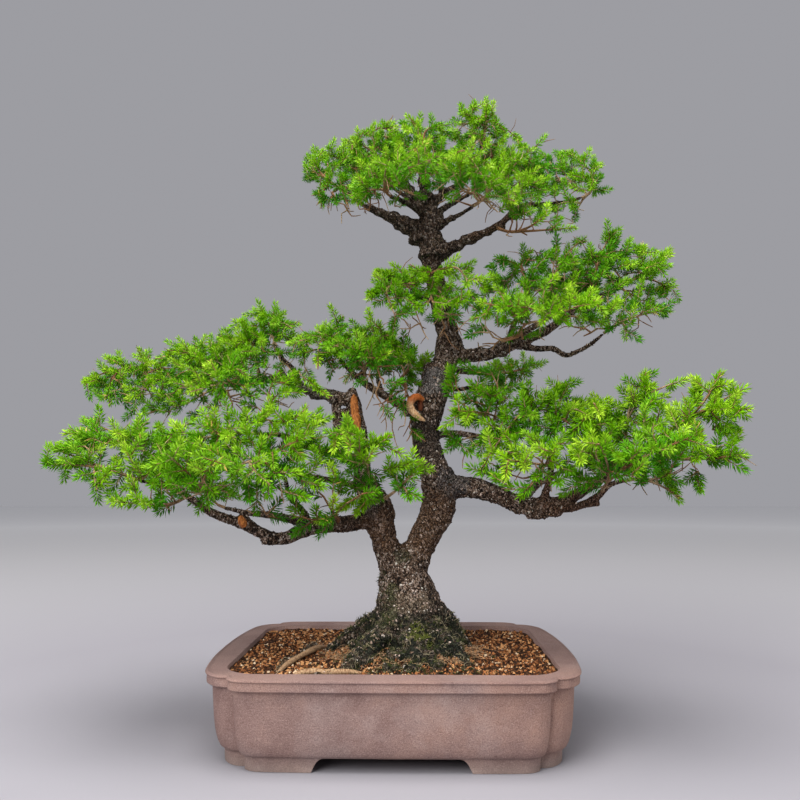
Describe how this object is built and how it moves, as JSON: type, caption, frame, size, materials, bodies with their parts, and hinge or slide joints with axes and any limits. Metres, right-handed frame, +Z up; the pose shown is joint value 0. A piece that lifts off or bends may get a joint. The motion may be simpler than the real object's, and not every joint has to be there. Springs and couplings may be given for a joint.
{
  "type": "spruce bonsai in a pot",
  "caption": "Twin-trunk evergreen bonsai with layered pads of short needles, planted in a low rectangular unglazed clay pot on corner feet",
  "frame": {"origin": "centre of the bounding box in plan, on the plane that the pot's feet stand on", "axes": "+X along the pot's long side to the plant's right as seen from its front, +Y to the back, +Z up"},
  "size_m": [0.724, 0.286, 0.6982],
  "materials": {
    "clay": "unglazed, fine grained, pinkish brown",
    "screen": "matte black mesh",
    "soil": "granular fired clay and volcanic grit, reddish brown",
    "bark": "scaly grey-brown bark with lichen",
    "needles": "living needles, satin, yellow-green at the tips and darker inside"
  },
  "bodies": {
    "root": {"pot": "clay", "drain_screen_left": "screen", "drain_screen_right": "screen", "soil": "soil", "wood": "bark", "spray_crown_left": "needles", "spray_crown_up_left": "needles", "spray_crown_up": "needles", "spray_crown_apex": "needles", "spray_crown_right_mid": "needles", "spray_crown_right_tip": "needles", "spray_crown_front_left": "needles", "spray_crown_front_right": "needles", "spray_crown_under_right": "needles", "spray_crown_back_left": "needles", "spray_crown_back_right": "needles", "spray_right_up_left": "needles", "spray_right_up_trunk": "needles", "spray_right_up_riser": "needles", "spray_right_up_mid": "needles", "spray_right_up_tip_high": "needles", "spray_right_up_tip": "needles", "spray_right_up_tip_low": "needles", "spray_right_up_front": "needles", "spray_right_up_back": "needles", "spray_right_up_back_left": "needles", "spray_right_low_tip": "needles", "spray_right_low_tip_low": "needles", "spray_right_low_high": "needles", "spray_right_low_under": "needles", "spray_right_low_front": "needles", "spray_right_low_mid": "needles", "spray_right_low_in_high": "needles", "spray_right_low_in_front": "needles", "spray_right_low_in_left": "needles", "spray_right_low_thin": "needles", "spray_right_low_back": "needles", "spray_back_right": "needles", "spray_mid_left_tip": "needles", "spray_mid_left_front": "needles", "spray_mid_left_fork": "needles", "spray_mid_left_right": "needles", "spray_mid_left_back": "needles", "spray_up_left_riser": "needles", "spray_up_left_mid": "needles", "spray_up_left_far": "needles", "spray_up_left_tip": "needles", "spray_up_left_front": "needles", "spray_up_left_back": "needles", "spray_low_left_tip": "needles", "spray_low_left_tip_high": "needles", "spray_low_left_high": "needles", "spray_low_left_under": "needles", "spray_low_left_front": "needles", "spray_low_left_riser": "needles", "spray_low_left_in": "needles", "spray_low_left_shoot": "needles", "spray_low_left_trunk": "needles", "spray_low_left_cross": "needles", "spray_low_left_back": "needles"}
  },
  "joints": []
}
